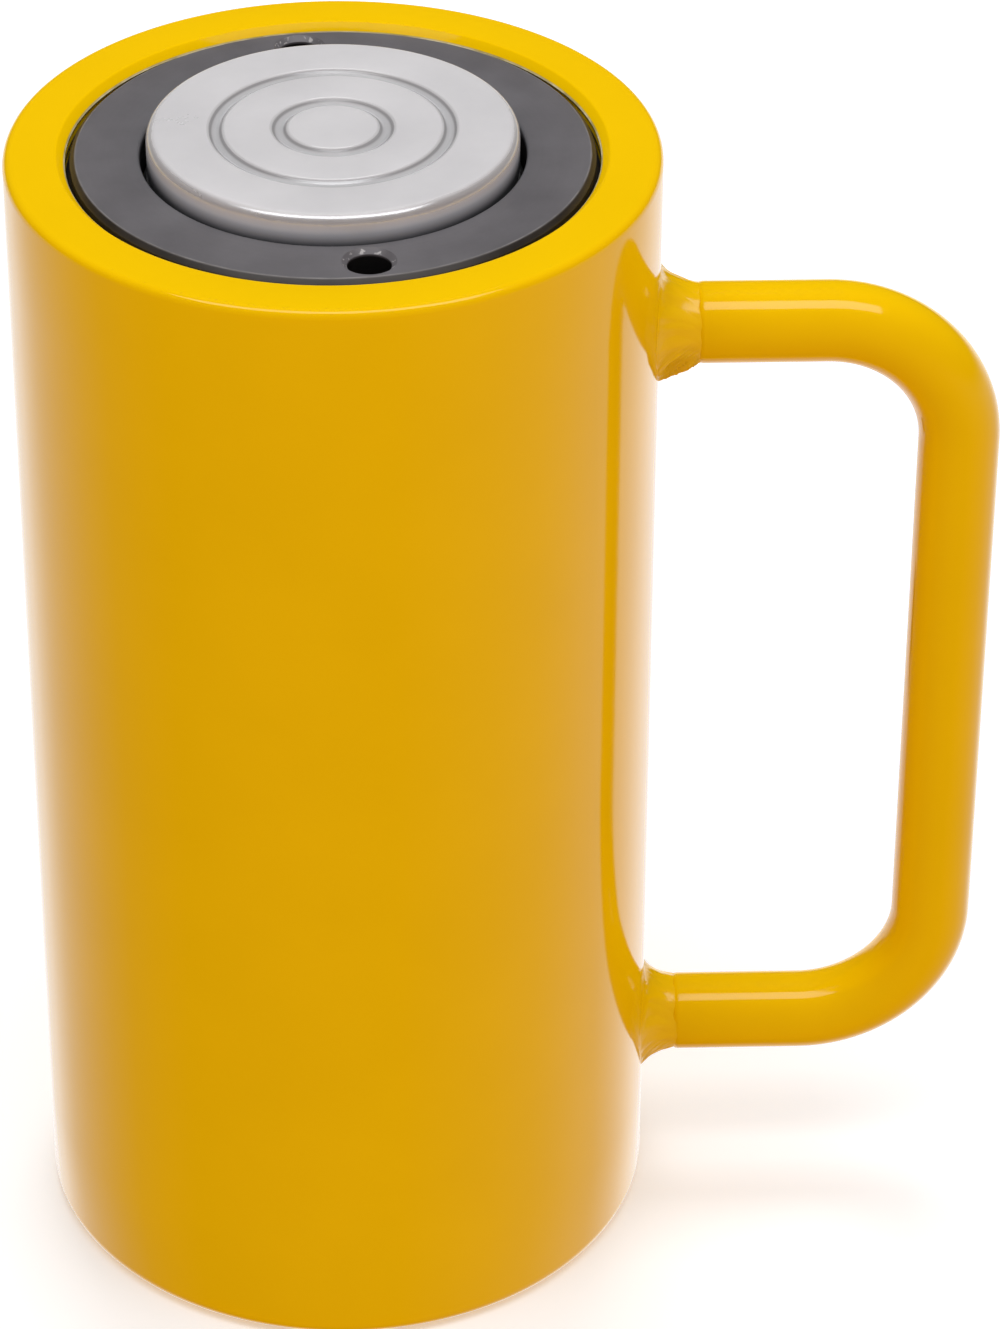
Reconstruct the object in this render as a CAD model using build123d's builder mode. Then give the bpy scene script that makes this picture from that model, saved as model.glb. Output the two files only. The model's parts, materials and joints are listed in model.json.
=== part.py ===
from build123d import *
from math import sqrt
import os

# Single-acting, spring-return hydraulic cylinder.  Millimetres.
# Origin: centre of the base's bottom face.  +Z up along the plunger axis,
# +X towards the carry handle, +Y towards the oil port at the back.

os.makedirs("parts", exist_ok=True)

# ---------------------------------------------------------------- dimensions
barrel_od = 127.0          # outside diameter of the barrel
barrel_h = 245.5           # base to rim
base_t = 25.0              # thickness of the closed end
bore_d = 95.2              # cylinder bore
gland_l = 42.0             # from the rim to the bottom of the gland nut
gland_top = barrel_h - 0.6 # the gland nut sits a little below the rim
thread_r = 51.45           # opening of the gland thread in the barrel
pilot_r = 50.0             # plain pilot bore below the thread
rim_inner_r = 53.25        # inner edge of the flat rim, above its chamfer
mouth_r = 37.2             # gland nut's mouth
rod_r = 36.0               # plunger radius
stroke = 125.0             # full travel
closed_h = 250.0           # base to saddle face, retracted
saddle_r = 35.9
saddle_t = 9.0
bar_r = 8.15               # carry handle bar
grip_x = 124.07            # axis of the grip bar
handle_zt = 205.8          # axis of the upper bar
handle_zb = 35.5           # axis of the lower bar
bend_r = 27.25             # centreline bend radius
port_z = 36.0              # height of the oil port
base_pcd = 95.2            # base mounting bolt circle
base_hole_r = 5.4
span_r = 43.7              # spanner holes in the gland nut
span_hole_r = 4.2
span_az = -81.6            # azimuth of the first spanner hole
coil_r = 16.5              # return spring, mean radius
wire_r = 2.5
coil_pitch = 6.8
coil_turns = 23
coil_z0 = 32.5             # axis of the wire at the spring's lower end

R = barrel_od / 2
bore_r = bore_d / 2
gland_z0 = barrel_h - gland_l                    # bottom of the gland nut, 203.5
head_top = gland_z0 - stroke - 0.2               # top of the piston head
seat_z = closed_h - saddle_t                     # plunger's top face, 241
web_z0, web_z1 = 204.0, 214.2                    # web across the hollow plunger
Z = Axis.Z


def rings(part, r, z):
    """Circular edges of one radius at one height."""
    out = []
    for e in part.edges().filter_by(GeomType.CIRCLE):
        c = e.arc_center
        if abs(e.radius - r) < 0.02 and abs(c.Z - z) < 0.02:
            out.append(e)
    return out


def save(solid, name):
    solid.label = name
    print(f"{name:22s} volume {solid.volume:12.1f}  solids {len(solid.solids())}  valid {solid.is_valid}")
    export_step(solid, f"parts/{name}.step")


# ---------------------------------------------------------------- barrel
with BuildPart() as barrel:
    with BuildSketch(Plane.XZ):
        with BuildLine():
            Polyline(
                (0, 0), (R, 0), (R, barrel_h), (rim_inner_r, barrel_h),
                (thread_r, barrel_h - 1.8), (thread_r, 215.6), (52.6, 214.9),
                (52.6, 212.4), (pilot_r, 211.4), (pilot_r, gland_z0),
                (48.5, gland_z0), (bore_r, gland_z0 - 4.0), (bore_r, base_t),
                (0, base_t), close=True)
        make_face()
    revolve(axis=Z)
    fillet(rings(barrel.part, R, 0), 3.6)
    fillet(rings(barrel.part, R, barrel_h), 1.8)
    fillet(rings(barrel.part, bore_r, base_t), 2.5)
    # spot face, tapered port thread and the passage into the chamber
    with BuildSketch(Plane.YZ):
        with BuildLine():
            Polyline(
                (45, port_z), (70, port_z), (70, port_z + 14.8), (62.0, port_z + 14.8),
                (62.0, port_z + 9.2), (61.2, port_z + 8.4), (50.8, port_z + 8.05),
                (49.8, port_z + 3.2), (45, port_z + 3.2), close=True)
        make_face()
    revolve(axis=Axis((0, 0, port_z), (0, 1, 0)), mode=Mode.SUBTRACT)
    # four tapped base holes and the blind tapped hole for the spring anchor
    with BuildSketch(Plane.XY):
        with PolarLocations(base_pcd / 2, 4, start_angle=45):
            Circle(base_hole_r)
    extrude(amount=19, mode=Mode.SUBTRACT)
    chamfer(rings(barrel.part, base_hole_r, 0), 0.8)
    with BuildSketch(Plane.XY.offset(9)):
        Circle(6.0)
    extrude(amount=base_t - 9, mode=Mode.SUBTRACT)
save(barrel.part, "barrel")

# ---------------------------------------------------------------- carry handle
with BuildPart() as carry_handle:
    with BuildLine():
        FilletPolyline((50, 0, handle_zt), (grip_x, 0, handle_zt),
                       (grip_x, 0, handle_zb), (50, 0, handle_zb), radius=bend_r)
    with BuildSketch(Plane(origin=(50, 0, handle_zt), x_dir=(0, 1, 0), z_dir=(1, 0, 0))):
        Circle(bar_r)
    sweep()
    # both ends coped to the barrel
    with BuildSketch(Plane.XY):
        Circle(R)
    extrude(amount=barrel_h, mode=Mode.SUBTRACT)
save(carry_handle.part, "carry_handle")

# ---------------------------------------------------------------- weld fillets
with BuildPart() as handle_weld_upper:
    with BuildSketch(Plane.XZ):
        with BuildLine():
            Polyline((71.5, handle_zt + bar_r + 0.25), (71.6, handle_zt + bar_r),
                     (60.5, handle_zt + bar_r), (60.5, handle_zt + 12.4),
                     (62.3, handle_zt + 12.4), (63.8, handle_zt + 12.1))
            ThreePointArc((63.8, handle_zt + 12.1), (67.0, handle_zt + 9.7),
                          (71.5, handle_zt + bar_r + 0.25))
        make_face()
    revolve(axis=Axis((0, 0, handle_zt), (1, 0, 0)))
    with BuildSketch(Plane.XY):
        Circle(R)
    extrude(amount=barrel_h, mode=Mode.SUBTRACT)
save(handle_weld_upper.part, "handle_weld_upper")

with BuildPart() as handle_weld_lower:
    with BuildSketch(Plane.XZ):
        with BuildLine():
            Polyline((70.2, handle_zb + bar_r + 0.25), (70.3, handle_zb + bar_r),
                     (60.5, handle_zb + bar_r), (60.5, handle_zb + 12.0),
                     (62.3, handle_zb + 12.0), (63.8, handle_zb + 11.7))
            ThreePointArc((63.8, handle_zb + 11.7), (66.4, handle_zb + 9.6),
                          (70.2, handle_zb + bar_r + 0.25))
        make_face()
    revolve(axis=Axis((0, 0, handle_zb), (1, 0, 0)))
    with BuildSketch(Plane.XY):
        Circle(R)
    extrude(amount=barrel_h, mode=Mode.SUBTRACT)
save(handle_weld_lower.part, "handle_weld_lower")

# ---------------------------------------------------------------- gland nut
with BuildPart() as gland_nut:
    with BuildSketch(Plane.XZ):
        with BuildLine():
            Polyline(
                (mouth_r + 0.8, gland_top), (49.6, gland_top), (50.6, gland_top - 1.0),
                (50.6, 241.9), (51.4, 241.1), (51.4, 215.9), (49.95, 214.5), (49.95, 210.6), (47.4, 210.6),
                (47.4, 207.0), (49.95, 207.0), (49.95, 203.9), (49.55, gland_z0),
                (37.0, gland_z0), (36.5, 204.0), (36.5, 208.0), (38.5, 208.0),
                (38.5, 224.0), (36.5, 224.0), (36.5, 229.5), (40.4, 229.5),
                (40.4, 235.5), (mouth_r, 235.5), (mouth_r, gland_top - 0.8), close=True)
        make_face()
    revolve(axis=Z)
    with BuildSketch(Plane.XY.offset(gland_top)):
        with PolarLocations(span_r, 2, start_angle=span_az):
            Circle(span_hole_r)
    extrude(amount=-8, mode=Mode.SUBTRACT)
    chamfer(rings(gland_nut.part, span_hole_r, gland_top), 1.0)
save(gland_nut.part, "gland_nut")

# ---------------------------------------------------------------- rod wiper
with BuildPart() as rod_wiper:
    with BuildSketch(Plane.XZ):
        with BuildLine():
            Polyline((36.9, 229.6), (40.35, 229.6), (40.35, 235.4), (37.1, 235.4),
                     (36.9, 238.0), (36.35, 238.0), (36.35, 236.9), (36.9, 235.0),
                     (36.35, 232.4), (36.35, 231.2), close=True)
        make_face()
    revolve(axis=Z)
save(rod_wiper.part, "rod_wiper")

# ---------------------------------------------------------------- rod bearing, split
with BuildPart() as rod_bearing:
    with BuildSketch(Plane.XZ):
        with BuildLine():
            Polyline((rod_r + 0.05, 208.6), (36.55, 208.1), (38.45, 208.1),
                     (38.45, 223.9), (36.55, 223.9), (rod_r + 0.05, 223.4), close=True)
        make_face()
    revolve(axis=Z)
    with Locations(Location((26.3, 26.3, 216), (0, 0, 45))):
        Box(8, 1.5, 20, mode=Mode.SUBTRACT)
save(rod_bearing.part, "rod_bearing")

# ---------------------------------------------------------------- gland O-ring
with BuildPart() as gland_o_ring:
    with Locations((0, 0, 208.8)):
        Torus(48.68, 1.27)
save(gland_o_ring.part, "gland_o_ring")

# ---------------------------------------------------------------- plunger
with BuildPart() as plunger:
    with BuildSketch(Plane.XZ):
        with BuildLine():
            Polyline(
                (0, web_z0), (22, web_z0), (22, 26.8), (23.5, 25.3), (43.5, 25.3),
                (45.0, 26.8), (45.0, 40.0), (46.9, 41.6), (47.2, 42.6), (47.2, 44.0),
                (41.0, 44.0), (41.0, 57.0), (47.2, 57.0), (47.2, 62.0), (45.2, 62.0),
                (45.2, 74.0), (47.2, 74.0), (47.2, head_top - 1.0), (46.2, head_top),
                (rod_r, head_top), (rod_r, seat_z - 1.0), (rod_r - 1.0, seat_z),
                (17.0, seat_z), (16.0, seat_z - 1.0), (16.0, 235.5), (17.0, 235.0),
                (17.0, 233.2), (16.0, 232.7), (16.0, web_z1), (0, web_z1), close=True)
        make_face()
    revolve(axis=Z)
    fillet(rings(plunger.part, rod_r, head_top), 1.2)
    with BuildSketch(Plane.XY.offset(web_z0)):
        Circle(6.6)
    extrude(amount=web_z1 - web_z0, mode=Mode.SUBTRACT)
save(plunger.part, "plunger")

# ---------------------------------------------------------------- piston seals
with BuildPart() as piston_u_cup:
    with BuildSketch(Plane.XZ):
        with BuildLine():
            Polyline((41.1, 53.8), (47.1, 53.8), (47.1, 50.0), (47.3, 44.8), (46.3, 44.2),
                     (44.9, 49.0), (43.4, 49.0), (42.2, 44.2), (41.1, 44.8), close=True)
        make_face()
    revolve(axis=Z)
save(piston_u_cup.part, "piston_u_cup")

with BuildPart() as piston_backup_ring:
    with BuildSketch(Plane.XZ):
        with Locations((44.2, 55.35)):
            Rectangle(6.2, 2.9)
    revolve(axis=Z)
save(piston_backup_ring.part, "piston_backup_ring")

with BuildPart() as piston_wear_ring:
    with BuildSketch(Plane.XZ):
        with BuildLine():
            Polyline((45.25, 62.1), (47.05, 62.1), (bore_r - 0.05, 62.6),
                     (bore_r - 0.05, 73.4), (47.05, 73.9), (45.25, 73.9), close=True)
        make_face()
    revolve(axis=Z)
    with Locations(Location((-32.8, 32.8, 68), (0, 0, 135))):
        Box(8, 1.8, 16, mode=Mode.SUBTRACT)
save(piston_wear_ring.part, "piston_wear_ring")

# ---------------------------------------------------------------- saddle
with BuildPart() as saddle:
    with BuildSketch(Plane.XZ):
        with BuildLine():
            Polyline(
                (0, 229.0), (14.9, 229.0), (15.9, 230.0), (15.9, 232.8), (14.6, 233.2),
                (14.6, 235.0), (15.9, 235.4), (15.9, seat_z), (saddle_r - 0.9, seat_z),
                (saddle_r, seat_z + 0.9), (saddle_r, closed_h), (0, closed_h), close=True)
        make_face()
    revolve(axis=Z)
    fillet(rings(saddle.part, saddle_r, closed_h), 1.3)
    # two shallow round-bottomed grooves in the load face
    with Locations((0, 0, 250.885)):
        Torus(22.55, 1.785, mode=Mode.SUBTRACT)
    with Locations((0, 0, 251.156)):
        Torus(10.34, 2.056, mode=Mode.SUBTRACT)
save(saddle.part, "saddle")

# snap ring of round wire, open at one side
with BuildPart() as saddle_retaining_ring:
    with Locations((0, 0, 234.1)):
        Torus(15.85, 0.85)
    with Locations((0, 15.8, 234.1)):
        Box(5, 6, 4, mode=Mode.SUBTRACT)
save(saddle_retaining_ring.part, "saddle_retaining_ring")

# ---------------------------------------------------------------- return spring
with BuildPart() as return_spring:
    with BuildLine() as coil:
        Helix(pitch=coil_pitch, height=coil_pitch * coil_turns, radius=coil_r,
              center=(0, 0, coil_z0))
    with BuildSketch(Plane(origin=coil.line @ 0, z_dir=coil.line % 0)):
        Circle(wire_r)
    sweep(is_frenet=True)
save(return_spring.part, "return_spring")

# ---------------------------------------------------------------- spring anchors
# screw-in plugs: the end coils lie in a helical groove round each boss
with BuildPart() as lower_spring_anchor:
    with BuildSketch(Plane.XZ):
        with BuildLine():
            Polyline((6.5, base_t), (19.5, base_t), (20.0, 25.5), (20.0, 28.6), (19.6, 29.0),
                     (16.0, 29.0), (16.0, 45.5), (15.2, 46.3), (10.2, 46.3), (10.2, 33.0),
                     (6.5, 33.0), close=True)
        make_face()
    revolve(axis=Z)
    with BuildLine() as low_groove:
        Helix(pitch=coil_pitch, height=coil_pitch * 3, radius=coil_r,
              center=(0, 0, coil_z0))
    with BuildSketch(Plane(origin=low_groove.line @ 0, z_dir=low_groove.line % 0)):
        Circle(wire_r + 0.06)
    sweep(is_frenet=True, mode=Mode.SUBTRACT)
save(lower_spring_anchor.part, "lower_spring_anchor")

with BuildPart() as upper_spring_anchor:
    with BuildSketch(Plane.XZ):
        with BuildLine():
            Polyline((6.0, web_z0), (11.0, web_z0), (11.0, 197.5), (18.6, 197.0), (19.0, 196.6),
                     (19.0, 192.9), (18.6, 192.5), (16.0, 192.5), (16.0, 176.3), (15.2, 175.5),
                     (6.0, 175.5), close=True)
        make_face()
    revolve(axis=Z)
    with BuildLine() as up_groove:
        Helix(pitch=coil_pitch, height=coil_pitch * 3, radius=coil_r,
              center=(0, 0, coil_z0 + coil_pitch * (coil_turns - 3)))
    with BuildSketch(Plane(origin=up_groove.line @ 0, z_dir=up_groove.line % 0)):
        Circle(wire_r + 0.06)
    sweep(is_frenet=True, mode=Mode.SUBTRACT)
save(upper_spring_anchor.part, "upper_spring_anchor")

# socket-head screws, heads bearing on the anchor and on the plunger's web
with BuildPart() as lower_anchor_screw:
    with BuildSketch(Plane.XZ):
        with BuildLine():
            Polyline((0, 11.0), (5.2, 11.0), (5.95, 11.8), (5.95, 33.0), (9.0, 33.0),
                     (9.0, 44.2), (8.2, 45.0), (0, 45.0), close=True)
        make_face()
    revolve(axis=Z)
    with BuildSketch(Plane.XY.offset(45.0)):
        RegularPolygon(5.0, 6, major_radius=False)
    extrude(amount=-6, mode=Mode.SUBTRACT)
save(lower_anchor_screw.part, "lower_anchor_screw")

with BuildPart() as upper_anchor_bolt:
    with BuildSketch(Plane.XZ):
        with BuildLine():
            Polyline((0, 184.0), (5.2, 184.0), (5.95, 184.8), (5.95, web_z1), (9.0, web_z1),
                     (9.0, web_z1 + 11.2), (8.2, web_z1 + 12.0), (0, web_z1 + 12.0), close=True)
        make_face()
    revolve(axis=Z)
    with BuildSketch(Plane.XY.offset(web_z1 + 12.0)):
        RegularPolygon(5.0, 6, major_radius=False)
    extrude(amount=-6, mode=Mode.SUBTRACT)
save(upper_anchor_bolt.part, "upper_anchor_bolt")

# ---------------------------------------------------------------- port coupler
port_axis = Axis((0, 0, port_z), (0, 1, 0))

with BuildPart() as coupler_nipple:
    with BuildSketch(Plane.YZ):
        with BuildLine():
            Polyline((51.0, port_z + 3.2), (51.0, port_z + 7.4), (51.6, port_z + 8.0),
                     (61.0, port_z + 8.3), (62.6, port_z + 8.3), (62.6, port_z + 8.0),
                     (77.0, port_z + 8.0), (77.0, port_z + 3.2), close=True)
        make_face()
    revolve(axis=port_axis)
    with BuildSketch(Plane(origin=(0, 62.6, port_z), x_dir=(1, 0, 0), z_dir=(0, 1, 0))):
        RegularPolygon(12.0, 6, major_radius=False)
        Circle(5.0, mode=Mode.SUBTRACT)
    extrude(amount=8.4)
save(coupler_nipple.part, "coupler_nipple")

with BuildPart() as coupler_body:
    with BuildSketch(Plane.YZ):
        with BuildLine():
            Polyline(
                (71.0, port_z + 8.05), (71.0, port_z + 11.4), (71.6, port_z + 12.0),
                (79.0, port_z + 12.0), (79.6, port_z + 11.2), (82.0, port_z + 11.2),
                (82.6, port_z + 12.0), (95.0, port_z + 12.0), (96.0, port_z + 11.0),
                (99.0, port_z + 11.0), (99.5, port_z + 10.5), (99.5, port_z + 7.8),
                (98.7, port_z + 7.0), (96.6, port_z + 7.0), (96.6, port_z + 8.5),
                (94.4, port_z + 8.5), (94.4, port_z + 7.0), (93.0, port_z + 7.0),
                (93.0, port_z + 4.0), (91.6, port_z + 4.0), (89.0, port_z + 6.6),
                (77.2, port_z + 6.6), (77.2, port_z + 8.05), close=True)
        make_face()
    revolve(axis=port_axis)
save(coupler_body.part, "coupler_body")

with BuildPart() as coupler_poppet:
    with BuildSketch(Plane.YZ):
        with BuildLine():
            Polyline((71.0, port_z), (97.0, port_z), (97.0, port_z + 1.6), (96.4, port_z + 2.2),
                     (92.4, port_z + 2.2), (92.4, port_z + 2.95), (89.15, port_z + 6.2),
                     (87.2, port_z + 6.2), (87.2, port_z + 2.2), (71.5, port_z + 2.2),
                     (71.0, port_z + 1.7), close=True)
        make_face()
    revolve(axis=port_axis)
save(coupler_poppet.part, "coupler_poppet")

with BuildPart() as coupler_spring:
    with BuildLine() as small_coil:
        Helix(pitch=1.53, height=9.18, radius=4.6, center=(0, 77.5, port_z),
              direction=(0, 1, 0))
    with BuildSketch(Plane(origin=small_coil.line @ 0, z_dir=small_coil.line % 0)):
        Circle(0.45)
    sweep(is_frenet=True)
save(coupler_spring.part, "coupler_spring")

with BuildPart() as coupler_o_ring:
    with Locations(Location((0, 95.5, port_z), (90, 0, 0))):
        Torus(7.62, 0.86)
save(coupler_o_ring.part, "coupler_o_ring")

# pull-off dust cap with grip ribs
with BuildPart() as dust_cap:
    with BuildSketch(Plane.YZ):
        with BuildLine():
            Polyline((84.0, port_z + 12.35), (84.0, port_z + 13.9), (84.6, port_z + 14.5),
                     (102.0, port_z + 14.5), (103.5, port_z + 13.0), (103.5, port_z),
                     (100.0, port_z), (100.0, port_z + 11.6), (98.0, port_z + 12.35), close=True)
        make_face()
    revolve(axis=port_axis)
    with BuildSketch(Plane(origin=(0, 87.5, port_z), x_dir=(1, 0, 0), z_dir=(0, 1, 0))):
        with PolarLocations(14.9, 24):
            Circle(0.75)
    extrude(amount=13.5, mode=Mode.SUBTRACT)
save(dust_cap.part, "dust_cap")
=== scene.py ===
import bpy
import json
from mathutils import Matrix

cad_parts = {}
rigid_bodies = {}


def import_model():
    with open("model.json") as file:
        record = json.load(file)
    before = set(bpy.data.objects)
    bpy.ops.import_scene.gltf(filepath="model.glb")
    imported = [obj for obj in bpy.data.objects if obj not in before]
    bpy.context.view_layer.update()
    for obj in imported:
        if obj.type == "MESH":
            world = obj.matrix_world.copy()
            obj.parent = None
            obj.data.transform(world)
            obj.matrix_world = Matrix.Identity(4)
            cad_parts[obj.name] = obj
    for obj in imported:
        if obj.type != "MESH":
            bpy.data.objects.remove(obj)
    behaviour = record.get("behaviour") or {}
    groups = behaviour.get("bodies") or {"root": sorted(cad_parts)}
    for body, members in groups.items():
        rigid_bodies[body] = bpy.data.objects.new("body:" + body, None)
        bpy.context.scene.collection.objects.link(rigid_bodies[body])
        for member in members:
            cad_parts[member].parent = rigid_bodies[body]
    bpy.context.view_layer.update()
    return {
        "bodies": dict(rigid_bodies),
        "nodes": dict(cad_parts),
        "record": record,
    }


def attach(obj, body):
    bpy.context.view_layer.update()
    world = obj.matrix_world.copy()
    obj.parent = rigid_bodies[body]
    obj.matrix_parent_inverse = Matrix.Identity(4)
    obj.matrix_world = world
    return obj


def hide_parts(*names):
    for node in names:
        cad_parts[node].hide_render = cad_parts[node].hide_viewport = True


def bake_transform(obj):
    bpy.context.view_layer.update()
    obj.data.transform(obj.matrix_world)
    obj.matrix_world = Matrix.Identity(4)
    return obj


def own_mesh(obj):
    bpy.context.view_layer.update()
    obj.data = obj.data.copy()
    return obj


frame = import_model()

import json
import math
import bpy
from mathutils import Matrix, Vector, noise

MM = 0.001
scene = bpy.context.scene
bodies = frame["bodies"]

# ------------------------------------------------------------------ dimensions (mm)
R = 63.5                    # barrel radius
H = 245.5                   # rim height
BAR = 8.15                  # handle bar radius
GRIP = 124.07               # grip bar axis
ZT, ZB = 205.8, 35.5        # handle bar axes
BEND = 27.25
PORT = 36.0                 # port axis height
TOP = 250.0                 # saddle face


# ------------------------------------------------------------------ mesh helpers
def mesh_object(name, verts, faces, smooth=35.0):
    me = bpy.data.meshes.new(name)
    me.from_pydata([tuple(c * MM for c in v) for v in verts], [], faces)
    me.update()
    me.shade_smooth()
    me.set_sharp_from_angle(angle=math.radians(smooth))
    ob = bpy.data.objects.new(name, me)
    scene.collection.objects.link(ob)
    return ob


def soften(points, seg=4):
    """A closed or open profile of (r, z) or (r, z, radius) points with its corners rounded."""
    out = []
    n = len(points)
    for i, p in enumerate(points):
        rad = p[2] if len(p) > 2 else 0.0
        if rad <= 0 or i in (0, n - 1):
            out.append((p[0], p[1]))
            continue
        a = Vector((points[i - 1][0] - p[0], points[i - 1][1] - p[1]))
        b = Vector((points[i + 1][0] - p[0], points[i + 1][1] - p[1]))
        la, lb = a.length, b.length
        a.normalize()
        b.normalize()
        turn = a.angle(b)
        d = min(rad / math.tan(turn / 2), la * 0.49, lb * 0.49)
        rad = d * math.tan(turn / 2)
        c = (a + b).normalized() * (rad / math.sin(turn / 2))
        s = a * d - c
        e = b * d - c
        sweep = s.angle(e)
        for k in range(seg + 1):
            t = k / seg
            v = (s * math.sin((1 - t) * sweep) + e * math.sin(t * sweep)) / math.sin(sweep) if sweep > 1e-6 else s
            out.append((p[0] + c.x + v.x, p[1] + c.y + v.y))
    return out


def lathe(name, profile, seg=192, axis="Z", centre=(0, 0, 0), smooth=35.0, closed=False, shape=None):
    """Revolve (r, h) points about an axis. Points on the axis become poles."""
    verts, rows = [], []

    def place(r, h, a):
        if shape:
            r, h = shape(r, h, a)
        x, y = r * math.cos(a), r * math.sin(a)
        if axis == "Z":
            return (centre[0] + x, centre[1] + y, centre[2] + h)
        return (centre[0] + x, centre[1] + h, centre[2] - y)      # axis +Y

    for r, h in profile:
        if r < 1e-6:
            rows.append([len(verts)] * seg)
            verts.append(place(0, h, 0))
        else:
            rows.append(list(range(len(verts), len(verts) + seg)))
            for k in range(seg):
                verts.append(place(r, h, 2 * math.pi * k / seg))
    faces = []
    pairs = list(zip(rows, rows[1:]))
    if closed:
        pairs.append((rows[-1], rows[0]))
    for lo, hi in pairs:
        for k in range(seg):
            q = (lo[k], lo[(k + 1) % seg], hi[(k + 1) % seg], hi[k])
            f = []
            for v in q:
                if v not in f:
                    f.append(v)
            if len(f) > 2:
                faces.append(tuple(f))
    ob = mesh_object(name, verts, faces, smooth)
    fix_normals(ob)
    return ob


def fix_normals(ob):
    import bmesh
    bm = bmesh.new()
    bm.from_mesh(ob.data)
    bmesh.ops.recalc_face_normals(bm, faces=bm.faces)
    bm.to_mesh(ob.data)
    bm.free()


def cylinder(name, r, z0, z1, at, axis="Z", seg=48):
    prof = [(0, z0), (r, z0), (r, z1), (0, z1)]
    return lathe(name, prof, seg=seg, axis=axis, centre=at)


def cut(ob, cutters, smooth=35.0):
    """Subtract the cutters, which are closed meshes, and delete them."""
    for c in cutters:
        m = ob.modifiers.new("cut", "BOOLEAN")
        m.operation = "DIFFERENCE"
        m.solver = "EXACT"
        m.object = c
        dg = bpy.context.evaluated_depsgraph_get()
        me = bpy.data.meshes.new_from_object(ob.evaluated_get(dg))
        ob.modifiers.clear()
        old = ob.data
        ob.data = me
        bpy.data.meshes.remove(old)
        bpy.data.objects.remove(c, do_unlink=True)
    ob.data.shade_smooth()
    ob.data.set_sharp_from_angle(angle=math.radians(smooth))


def tube(name, path, radius, ring=48, cap=True, wobble=None):
    """A round bar along a list of (point, tangent) pairs, in mm."""
    verts, faces = [], []
    up = Vector((0, 1, 0))
    for i, (p, t) in enumerate(path):
        side = t.cross(up).normalized()
        for k in range(ring):
            a = 2 * math.pi * k / ring
            r = radius
            if wobble:
                r = wobble(i, a, radius)
            v = p + side * (r * math.cos(a)) + up * (r * math.sin(a))
            verts.append(tuple(v))
    n = len(path)
    for i in range(n - 1):
        for k in range(ring):
            k2 = (k + 1) % ring
            faces.append((i * ring + k, i * ring + k2, (i + 1) * ring + k2, (i + 1) * ring + k))
    if cap:
        faces.append(tuple(range(ring - 1, -1, -1)))
        faces.append(tuple((n - 1) * ring + k for k in range(ring)))
    ob = mesh_object(name, verts, faces)
    fix_normals(ob)
    return ob


def coil(name, mean, wire, z0, pitch, turns, axis="Z", at=(0, 0, 0), ring=12, per_turn=40):
    path = []
    n = int(turns * per_turn)
    verts, faces = [], []
    for i in range(n + 1):
        a = 2 * math.pi * i / per_turn
        rad = Vector((math.cos(a), math.sin(a), 0))
        c = rad * mean + Vector((0, 0, z0 + pitch * i / per_turn))
        for k in range(ring):
            b = 2 * math.pi * k / ring
            v = c + rad * (wire * math.cos(b)) + Vector((0, 0, wire * math.sin(b)))
            if axis == "Y":
                v = Vector((v.x, v.z, -v.y))
            verts.append((v.x + at[0], v.y + at[1], v.z + at[2]))
    for i in range(n):
        for k in range(ring):
            k2 = (k + 1) % ring
            faces.append((i * ring + k, i * ring + k2, (i + 1) * ring + k2, (i + 1) * ring + k))
    faces.append(tuple(range(ring - 1, -1, -1)))
    faces.append(tuple(n * ring + k for k in range(ring)))
    ob = mesh_object(name, verts, faces)
    fix_normals(ob)
    return ob


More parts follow.
